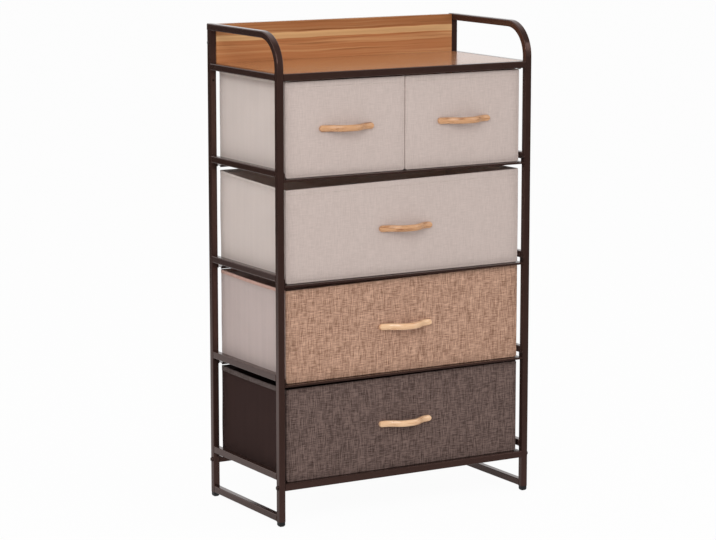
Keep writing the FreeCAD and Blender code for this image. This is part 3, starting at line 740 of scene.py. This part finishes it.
def thicken(piece: bpy.types.Object, wall: float) -> None:
    """Give a sheet its wall, inwards.

    Args:
        piece: The piece.
        wall: Thickness of the wall.
    """
    modifier = piece.modifiers.new("wall", "SOLIDIFY")
    modifier.thickness = wall
    modifier.offset = -1.0
    modifier.use_even_offset = True


def soften(piece: bpy.types.Object, width: float) -> None:
    """Round the edges of a piece that turn by more than 40 degrees.

    Args:
        piece: The piece.
        width: Width of the round.
    """
    modifier = piece.modifiers.new("soft_edges", "BEVEL")
    modifier.width = width
    modifier.segments = 2
    modifier.limit_method = "ANGLE"
    modifier.angle_limit = math.radians(40.0)
    modifier.harden_normals = False


def dress(nodes: Iterable[str], finish: Finish) -> None:
    """Give CAD nodes a finish.

    Args:
        nodes: Names of the nodes.
        finish: Their finish.
    """
    for name in nodes:
        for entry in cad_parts[name].material_slots:
            entry.material = finish.material()
        log.info("%s: %s", name, finish.name)


# ---- the drawers
@dataclass
class FabricDrawer:
    """One sewn drawer: front cover, body, rim binding, piping, stitches, boards and handle."""

    name: str
    cloth: Cloth
    rim_left: float = 0.0
    rim_right: float = 0.0
    rim_side: float = 0.0
    rim_sag: float = 1.3 * MM
    bulge_left: float = 1.2 * MM
    bulge_right: float = 1.2 * MM
    bulge_front: float = 0.8 * MM
    bulge_back: float = 1.2 * MM
    cover: float = 2.9 * MM
    wall: float = 2.0 * MM
    corner: float = 5.0 * MM
    hem: float = 12.0 * MM
    margin: float = 4.2 * MM
    body_step: float = 20 * MM
    body_step_across: float = 24 * MM
    binding: float = 4.0 * MM
    binding_proud: float = 0.45 * MM
    piping: float = 1.1 * MM
    stitch: float = 3.0 * MM
    stitch_gap: float = 1.1 * MM
    thread: float = 0.28 * MM
    wood: TurnedWood = SHADED_HANDLE_WOOD

    def __post_init__(self) -> None:
        """Read the drawer's place from its CAD node."""
        low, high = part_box(f"{self.name}_fabric_box")
        self.left, self.front, self.bottom = low
        self.right, self.back, self.top = high
        self.width, self.height = self.right - self.left, self.top - self.bottom
        self.middle_x, _, self.middle_z = middle_of(low, high)
        self.behind = self.front + self.cover
        self.hem_line = self.top - self.hem
        self.home = Home(self.name, CLOTH_SLOT[self.cloth], (f"{self.name}_fabric_box",))

    def settle(self, point: Vector) -> Vector:
        """Move a point of the drawer as sewn to where the cloth has settled.

        Args:
            point: The point as sewn.

        Returns:
            The settled point.
        """
        rise = (point.z - self.bottom) / self.height
        across = (point.x - self.left) / self.width
        deep = (point.y - self.front) / (self.back - self.front)
        belly, bow_x, bow_y = arch(rise), arch(deep), arch(across)
        soft, firm = 8, 12
        near_left, near_right = nearness(across, soft), nearness(1.0 - across, soft)
        near_front, near_back = nearness(deep, firm), nearness(1.0 - deep, soft)
        front_rim = self.rim_left + (self.rim_right - self.rim_left) * across
        rim = self.rim_side + (front_rim - self.rim_side) * (1.0 - deep)
        ripples_per_metre, creases_per_metre = 11.0, (22, 22, 9)
        seed = Vector((3.1 * across, 0.0, self.bottom * 7))
        ripple = noise.noise(point * ripples_per_metre + seed)
        finer = Vector([place * cells for place, cells in zip(point, creases_per_metre)])
        crease = noise.noise(finer + Vector((5.0, 1.0, 2.0)))
        loose = belly * (1.0 - max(0.0, near_front))
        sag = bow_x * max(near_left, near_right, 0.0) + bow_y * max(near_back, 0.0)
        shift = Vector()
        shift.x = (self.bulge_right * near_right - self.bulge_left * near_left) * bow_x * belly
        shift.x += loose * (ripple + crease * 0.35) * MM * (near_right - near_left)
        shift.y = (near_back * self.bulge_back - near_front * self.bulge_front) * belly * bow_y
        shift.y += loose * near_back * (ripple * 0.9 + crease * 0.3) * MM
        shift.y -= near_front * belly * ripple * 0.5 * MM
        shift.z = rise**3 * (rim - sag * self.rim_sag)
        return point + shift

    def settle_all(self, mesh: bmesh.types.BMesh) -> None:
        """Settle every point of a mesh."""
        for vert in mesh.verts:
            vert.co = self.settle(vert.co)

    def front_cover(self) -> None:
        """Sew the front: a padded cover with a hem along its top and a seam allowance round it."""
        mesh = block(
            (self.width, self.cover, self.height),
            (self.middle_x, self.front + self.cover / 2, self.middle_z),
        )
        upper_corner, face_edge, skin = 2.5 * MM, 1.3 * MM, 0.2 * MM
        step_across, step_up = 22 * MM, 18 * MM

        def is_corner(edge: bmesh.types.BMEdge, low: bool) -> bool:
            return runs_along(edge, BACK) and (edge.verts[0].co.z < self.middle_z) == low

        def is_on_face(edge: bmesh.types.BMEdge) -> bool:
            return all(abs(vert.co.y - self.front) < JOINED_PLACE for vert in edge.verts)

        round_off(mesh, self.corner, 6, lambda edge: is_corner(edge, True))
        round_off(mesh, upper_corner, 3, lambda edge: is_corner(edge, False))
        round_off(mesh, face_edge, 3, is_on_face)
        groove = (-0.9 * MM, -0.4 * MM, 0.0, 0.5 * MM, 1.0 * MM)
        slice_across(mesh, RIGHT, spread(self.left, self.right, step_across))
        slice_across(mesh, UP, spread(self.bottom, self.hem_line, step_up))
        slice_across(mesh, UP, [self.hem_line + place for place in groove])
        for edge, inward in ((self.left, 1), (self.right, -1)):
            slice_across(mesh, RIGHT, [edge + inward * (self.margin + place) for place in groove])
        slice_across(mesh, UP, [self.bottom + self.margin + place for place in groove])
        for vert in mesh.verts:
            if vert.co.y < self.front + skin:
                vert.co.y += self.seam_depth(vert.co)
        self.settle_all(mesh)
        hand_over(mesh, f"{self.name}_front_cover", FRONT_CLOTH[self.cloth], self.home)

    def seam_depth(self, point: Vector) -> float:
        """How deep the seams press a point of the front in.

        Args:
            point: The point.

        Returns:
            The depth, in metres.
        """
        edge = min(point.x - self.left, self.right - point.x, point.z - self.bottom)
        narrow, hem_depth, margin_depth = 0.45 * MM, 0.35 * MM, 0.45 * MM
        hem = math.exp(-(((point.z - self.hem_line) / narrow) ** 2))
        hem *= min(1.0, max(0.0, edge / self.margin))
        seam = math.exp(-(((edge - self.margin) / narrow) ** 2))
        return hem_depth * hem + margin_depth * seam

    def body_shell(self) -> None:
        """Sew the sides, back and floor from body cloth."""
        mesh = block(
            (self.width, self.back - self.behind, self.height),
            (self.middle_x, (self.behind + self.back) / 2, self.middle_z),
        )
        drop_faces(mesh, UP, -BACK)

        def is_seam(edge: bmesh.types.BMEdge) -> bool:
            return len(edge.link_faces) == 2 and edge.calc_face_angle() > 1.0

        round_off(mesh, self.corner, 5, is_seam)
        bmesh.ops.remove_doubles(mesh, verts=mesh.verts, dist=JOINED_PLACE)
        self.slice_body(mesh)
        slice_across(mesh, UP, spread(self.bottom, self.top, self.body_step))
        self.settle_all(mesh)
        piece = hand_over(mesh, f"{self.name}_body_cloth", BODY_CLOTH[self.cloth], self.home)
        thicken(piece, self.wall)

    def slice_body(self, mesh: bmesh.types.BMesh) -> None:
        """Slice the cloth of the body across its width and its depth, so that it can settle."""
        slice_across(mesh, RIGHT, spread(self.left, self.right, self.body_step_across))
        slice_across(mesh, BACK, spread(self.behind, self.back, self.body_step))

    def rim_binding(self) -> None:
        """Bind the rim of the sides and back with a strip of front cloth."""
        proud = self.binding_proud
        low, high = self.top - self.binding, self.top + proud
        mesh = block(
            (self.width + 2 * proud, self.back + proud - self.behind, high - low),
            (self.middle_x, (self.behind + self.back + proud) / 2, (low + high) / 2),
        )
        drop_faces(mesh, UP, -UP, -BACK)
        round_off(mesh, self.corner + proud, 5, lambda edge: len(edge.link_faces) == 2)
        self.slice_body(mesh)
        self.settle_all(mesh)
        piece = hand_over(mesh, f"{self.name}_rim_binding", RIM_CLOTH[self.cloth], self.home)
        thicken(piece, self.wall + 2 * proud)
        soften(piece, 0.5 * MM)

    def edge_piping(self) -> None:
        """Sew a thin piped edge down the sides and along the foot of the front."""
        radius, turn = self.piping, self.corner
        sunk, below_rim = radius * 0.6, 1.5 * MM
        left, right = self.left + sunk, self.right - sunk
        foot, head = self.bottom + sunk, self.top - below_rim
        depth = self.behind - radius * 0.5
        mesh = bmesh.new()
        start = Matrix.Translation((left, depth, head))
        sides = 8
        bmesh.ops.create_circle(mesh, cap_ends=True, radius=radius, segments=sides, matrix=start)
        ring = mesh.edges[:]
        quarter, turn_steps, upright_steps, foot_steps = math.pi / 2, 6, 8, 22
        drop = Vector((0.0, 0.0, foot + turn - head))
        along = Vector((right - left - 2 * turn, 0.0, 0.0))
        last = sweep(
            mesh,
            ring,
            [
                Run(drop, upright_steps),
                Bend(Vector((left + turn, depth, foot + turn)), -BACK, quarter, turn_steps),
                Run(along, foot_steps),
                Bend(Vector((right - turn, depth, foot + turn)), -BACK, quarter, turn_steps),
                Run(-drop, upright_steps),
            ],
        )
        bmesh.ops.holes_fill(mesh, edges=last, sides=sides)
        bmesh.ops.recalc_face_normals(mesh, faces=mesh.faces)
        self.settle_all(mesh)
        hand_over(mesh, f"{self.name}_piping", FRONT_CLOTH[self.cloth], self.home)

    def stitch_rows(self) -> None:
        """Sew the visible rows of stitches along the hem, the front's edges and the binding."""
        mesh = bmesh.new()
        proud, groove_depth, hem_inset = 0.12 * MM, 0.3 * MM, 9 * MM
        face = self.front + groove_depth - proud
        corner = self.corner + self.margin
        left, right = self.left + self.margin, self.right - self.margin
        foot, turn, hem_line = self.bottom + self.margin, self.bottom + corner, self.hem_line
        rows = [
            ((self.left + hem_inset, face, hem_line), (self.right - hem_inset, face, hem_line)),
            ((left, face, hem_line), (left, face, turn)),
            ((right, face, hem_line), (right, face, turn)),
            ((self.left + corner, face, foot), (self.right - corner, face, foot)),
        ]
        above_fold, behind_cover = 1.6 * MM, 3 * MM
        low = self.top - self.binding + above_fold
        out = self.binding_proud + proud
        left, right, back = self.left - out, self.right + out, self.back + out
        near, far = self.behind + behind_cover, self.back - self.corner
        rows += [
            ((left, near, low), (left, far, low)),
            ((right, near, low), (right, far, low)),
            ((self.left + self.corner, back, low), (self.right - self.corner, back, low)),
        ]
        for start, end in rows:
            self.stitch_row(mesh, Vector(start), Vector(end))
        self.settle_all(mesh)
        hand_over(mesh, f"{self.name}_stitches", SEAM_THREAD[self.cloth], self.home)

    def stitch_row(self, mesh: bmesh.types.BMesh, start: Vector, end: Vector) -> None:
        """Sew one straight row of stitches.

        Args:
            mesh: The mesh that gathers the stitches.
            start: Start of the row, as sewn.
            end: End of the row, as sewn.
        """
        row = end - start
        count = int(row.length / (self.stitch + self.stitch_gap))
        pitch = row / count
        turn = row.to_track_quat("Z", "Y").to_matrix().to_4x4()
        size = Matrix.Diagonal((self.thread, self.thread, self.stitch / 2, 1.0))
        place = Matrix.Translation(start + pitch / 2) @ turn @ size
        verts = bmesh.ops.create_uvsphere(
            mesh, u_segments=6, v_segments=4, radius=1.0, matrix=place
        )["verts"]
        edges = {edge for vert in verts for edge in vert.link_edges}
        faces = {face for vert in verts for face in vert.link_faces}
        bmesh.ops.spin(
            mesh,
            geom=[*verts, *edges, *faces],
            cent=start,
            axis=row.normalized(),
            dvec=pitch,
            angle=0.0,
            steps=count - 1,
            use_duplicate=True,
        )

    def handle(self) -> None:
        """Shape the bowed wooden handle from a straight band with round ends."""
        x, _, z = middle_of(*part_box(f"{self.name}_handle"))
        middle = Vector((x, self.front, z))
        bow = HandleBow()
        half_length, half_band = bow.developed_length / 2, bow.band / 2
        end_flat, step_along, step_up = 0.05 * MM, 2.5 * MM, 2.2 * MM
        mesh = block((bow.developed_length, bow.thickness, bow.band), (0.0, 0.0, 0.0))
        round_off(mesh, half_band - end_flat, 10, lambda edge: runs_along(edge, BACK))
        round_off(mesh, bow.edge_round, 4, lambda edge: is_rim(edge, bow.thickness / 2))
        slice_across(mesh, RIGHT, spread(-half_length, half_length, step_along))
        slice_across(mesh, UP, spread(-half_band, half_band, step_up))
        for vert in mesh.verts:
            vert.co = middle + bow.bend(vert.co)
        home = Home(self.name, "handle_wood", (f"{self.name}_handle",))
        hand_over(mesh, f"{self.name}_bow_handle", self.wood, home)

    def build(self) -> None:
        """Make and dress the whole drawer."""
        self.front_cover()
        self.body_shell()
        self.rim_binding()
        self.edge_piping()
        self.stitch_rows()
        self.handle()
        dress([f"{self.name}_front_board", f"{self.name}_base_board"], BODY_CLOTH[self.cloth])
        dress([f"{self.name}_handle_screws"], ZINC_SCREW)


def is_rim(edge: bmesh.types.BMEdge, depth: float) -> bool:
    """Whether an edge lies on the front or the back rim of a band that is centred on Y = 0."""
    first, second = (vert.co.y for vert in edge.verts)
    return abs(first - second) < SAME_PLACE and abs(abs(first) - depth) < SAME_PLACE


@dataclass
class HandleBow:
    """The handle's centre line, from above: foot, S-bend, crown, S-bend, foot."""

    length: float = 124 * MM
    reach: float = 28 * MM
    band: float = 13 * MM
    thickness: float = 8 * MM
    foot: float = 5 * MM
    crown: float = 8 * MM
    edge_round: float = 3.6 * MM
    camber: float = 2.3 * MM

    def __post_init__(self) -> None:
        """Work the S-bends out."""
        self.rise = self.reach - self.thickness
        self.run = self.length / 2 - self.foot - self.crown / 2
        self.radius = (self.rise**2 + self.run**2) / (4 * self.rise)
        self.turn = math.acos(1 - self.rise / 2 / self.radius)
        self.arc = self.radius * self.turn
        self.developed_length = self.crown + 4 * self.arc + 2 * self.foot

    def bend(self, point: Vector) -> Vector:
        """Carry a point of the straight band onto the bow.

        Args:
            point: X is the distance along the band from its middle, Y outward is negative.

        Returns:
            The point, from the middle of the handle at the drawer's face.
        """
        if point.y < 0.0:
            point = point + BACK * self.camber * (2 * point.z / self.band) ** 2
        side = math.copysign(1.0, point.x)
        left = abs(point.x) - self.crown / 2
        crest = -self.thickness / 2 - self.rise
        x, y, lean = abs(point.x), crest, 0.0
        if left > 0:
            first = min(left, self.arc)
            lean = first / self.radius
            x = self.crown / 2 + self.radius * math.sin(lean)
            y = crest + self.radius * (1 - math.cos(lean))
        if left > self.arc:
            second = min(left - self.arc, self.arc)
            lean = self.turn - second / self.radius
            x = self.crown / 2 + self.run - self.radius * math.sin(lean)
            y = crest + self.rise - self.radius * (1 - math.cos(lean))
        if left > 2 * self.arc:
            x += left - 2 * self.arc
        x -= math.sin(lean) * point.y
        return Vector((side * x, y + math.cos(lean) * point.y, point.z))


# ---- the frame and the top
@dataclass
class SteelFrame:
    """The welded side frames, their crossbars and fittings."""

    bead: float = 0.9 * MM
    bead_sunk: float = 0.25
    tube: float = 14 * MM
    tube_corner: float = 2 * MM

    def build(self) -> None:
        """Dress the steel and add the weld beads."""
        steel = [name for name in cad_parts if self.is_steel(name)]
        dress(steel, FRAME_ENAMEL)
        dress(["base_rail_bolts", "support_bar_screws", "back_panel_screws"], DARK_SCREW)
        dress(["shelf_screws"], ZINC_SCREW)
        dress(["foot_caps", "tube_end_plugs"], CAP_PLASTIC)
        for side in ("left", "right"):
            self.weld_beads(side)

    @staticmethod
    def is_steel(name: str) -> bool:
        """Whether a node is enamelled steel."""
        return name.endswith(("_post", "_rail", "_bar")) or name == "shelf_rail_spigots"

    def weld_beads(self, side: str) -> None:
        """Lay a bead round each end of a side frame's rails.

        Args:
            side: Left or right.
        """
        mesh = bmesh.new()
        nodes = (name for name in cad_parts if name.endswith("_rail"))
        for rail in [name for name in nodes if name.startswith(side)]:
            low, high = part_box(rail)
            x, _, z = middle_of(low, high)
            for y in (low[1], high[1]):
                self.bead_ring(mesh, Vector((x, y, z)))
        hand_over(mesh, f"{side}_weld_beads", FRAME_ENAMEL, Home(FRAME_BODY, "frame_paint"))

    def bead_ring(self, mesh: bmesh.types.BMesh, centre: Vector) -> None:
        """Lay one bead round a square tube that runs along Y.

        Args:
            mesh: The mesh that gathers the beads.
            centre: Centre of the tube's end.
        """
        half = self.tube / 2 - self.bead_sunk * self.bead
        turn = self.tube_corner
        start = centre + Vector((half, 0.0, -half + turn))
        made = bmesh.ops.create_circle(
            mesh, cap_ends=False, radius=self.bead, segments=8, matrix=Matrix.Translation(start)
        )
        ring = list({edge for vert in made["verts"] for edge in vert.link_edges})
        reach = half - turn
        legs: list[Run | Bend] = []
        for way, right, up in ((UP, 1, 1), (-RIGHT, -1, 1), (-UP, -1, -1), (RIGHT, 1, -1)):
            hub = centre + Vector((right * reach, 0.0, up * reach))
            legs += [Run(way * (2 * reach), 3), Bend(hub, -BACK, math.pi / 2, 4)]
        sweep(mesh, ring, legs)
        bmesh.ops.remove_doubles(mesh, verts=mesh.verts, dist=SAME_PLACE)


@dataclass
class WoodenTop:
    """The shelf board and the back panel."""

    def build(self) -> None:
        """Dress the boards."""
        dress(["shelf_board", "back_panel"], SHELF_VENEER)


# ---- the studio
@dataclass(frozen=True)
class Softbox:
    """A square lamp that looks at the dresser."""

    name: str
    place: Vector
    side: float
    power: float

    def light(self, target: Vector) -> None:
        """Hang the lamp.

        Args:
            target: The point that it looks at.
        """
        data = bpy.data.lights.new(self.name, "AREA")
        data.shape = "SQUARE"
        data.size = self.side
        data.energy = self.power
        lamp = bpy.data.objects.new(self.name, data)
        lamp.location = self.place
        lamp.rotation_euler = (target - self.place).to_track_quat("-Z", "Y").to_euler()
        bpy.context.scene.collection.objects.link(lamp)


LAMPS = (
    Softbox("key_lamp", Vector((-2.6, -3.4, 3.0)), 2.4, 90.0),
    Softbox("side_lamp", Vector((3.4, -2.6, 2.2)), 2.4, 36.0),
    Softbox("glint_lamp", Vector((-3.3, -1.5, 1.7)), 0.6, 12.0),
)


@dataclass
class Studio:
    """A white sweep of floor, soft lamps and the camera."""

    target: Vector
    azimuth: float = math.radians(-30.49)
    elevation: float = math.radians(9.593)
    distance: float = 5.517
    lens: float = 133.2
    sensor: float = 36.0
    far_clip: float = 100.0
    floor_side: float = 60.0
    floor_grey: float = 0.86
    floor_glow: float = 0.96
    fill: float = 0.58
    front_gloss: float = 0.12
    back_gloss: float = 0.75
    near_gloss: float = 0.8
    far_gloss: float = 4.2

    def build(self) -> None:
        """Set the whole studio up."""
        self.set_floor()
        self.set_world()
        self.set_camera()
        for lamp in LAMPS:
            lamp.light(Vector((0.0, 0.0, 0.5)))
        bpy.context.scene.view_settings.view_transform = "Standard"

    def set_floor(self) -> None:
        """Lay the floor: white to the camera and in reflections, under a soft shadow."""
        mesh = bmesh.new()
        bmesh.ops.create_grid(mesh, x_segments=8, y_segments=8, size=self.floor_side / 2)
        data = bpy.data.meshes.new("studio_floor")
        mesh.to_mesh(data)
        mesh.free()
        material = bpy.data.materials.new("white_floor")
        material.use_nodes = True
        shader = Shader(material.node_tree)
        camera, glossy, through = shader.rays()
        grey = (self.floor_grey, self.floor_grey, self.floor_grey, 1.0)
        paint = shader.node("ShaderNodeBsdfDiffuse", values={"Color": grey})
        point = shader.node("ShaderNodeTexCoord", output=3)
        away = shader.node("ShaderNodeVectorMath", {"operation": "LENGTH"}, {0: point}, output=1)
        behind = shader.place()[1].ramp(-1.0, 1.0)
        near = 1.0 - away.ramp(self.near_gloss, self.far_gloss)
        mirrored = near * (behind * self.back_gloss + self.front_gloss)
        glow = shader.glow("ShaderNodeEmission", camera + glossy * mirrored + through)
        seen = camera * self.floor_glow + glossy + through
        mixed = shader.node("ShaderNodeMixShader", values={0: seen, 1: paint, 2: glow})
        shader.add("ShaderNodeOutputMaterial", values={"Surface": mixed})
        data.materials.append(material)
        floor = bpy.data.objects.new("studio_floor", data)
        bpy.context.scene.collection.objects.link(floor)

    def set_world(self) -> None:
        """Surround the studio with white, dimmer in reflections from the front."""
        world = bpy.data.worlds.new("studio_world")
        bpy.context.scene.world = world
        world.use_nodes = True
        shader = Shader(world.node_tree)
        camera, glossy, through = shader.rays()
        way = shader.node("ShaderNodeTexCoord", output=0)
        split = shader.node("ShaderNodeSeparateXYZ", values={0: way}, output=1)
        behind = split.ramp(-0.3, 0.35)
        shown = glossy * (behind * (1.0 - self.front_gloss) + self.front_gloss)
        other = 1.0 - camera - glossy - through
        strength = camera + through + shown + other * self.fill
        sky = shader.glow("ShaderNodeBackground", strength)
        shader.add("ShaderNodeOutputWorld", values={"Surface": sky})

    def set_camera(self) -> None:
        """Place the camera."""
        data = bpy.data.cameras.new("studio_camera")
        data.sensor_fit = "HORIZONTAL"
        data.sensor_width = self.sensor
        data.lens = self.lens
        data.clip_end = self.far_clip
        camera = bpy.data.objects.new("studio_camera", data)
        level = math.cos(self.elevation)
        x, y = math.sin(self.azimuth) * level, -math.cos(self.azimuth) * level
        away = Vector((x, y, math.sin(self.elevation)))
        camera.location = self.target + away * self.distance
        camera.rotation_euler = (-away).to_track_quat("-Z", "Y").to_euler()
        bpy.context.scene.collection.objects.link(camera)
        bpy.context.scene.camera = camera


def main() -> None:
    """Build the studio, the frame, the top and the drawers, in order."""
    Studio(target=Vector((-0.029, 0.00825, 0.4814))).build()
    SteelFrame().build()
    WoodenTop().build()
    drawers = [
        FabricDrawer("small_left_drawer", Cloth.BEIGE, bulge_right=-0.8 * MM),
        FabricDrawer("small_right_drawer", Cloth.BEIGE, bulge_left=-0.8 * MM),
        FabricDrawer(
            "upper_drawer", Cloth.BEIGE, rim_left=-3.0 * MM, rim_right=5.2 * MM, rim_side=6.5 * MM
        ),
        FabricDrawer(
            "middle_drawer",
            Cloth.TAN,
            rim_left=-2.6 * MM,
            rim_right=5.0 * MM,
            rim_side=1.0 * MM,
            binding=6.5 * MM,
            wood=LIT_HANDLE_WOOD,
        ),
        FabricDrawer(
            "lower_drawer",
            Cloth.BROWN,
            rim_left=-1.3 * MM,
            rim_right=1.6 * MM,
            rim_side=-0.6 * MM,
            binding=9.5 * MM,
            wood=LIT_HANDLE_WOOD,
        ),
    ]
    for drawer in drawers:
        drawer.build()


if __name__ == "__main__":
    logging.basicConfig(level=logging.INFO, format="%(name)s: %(message)s")
    main()
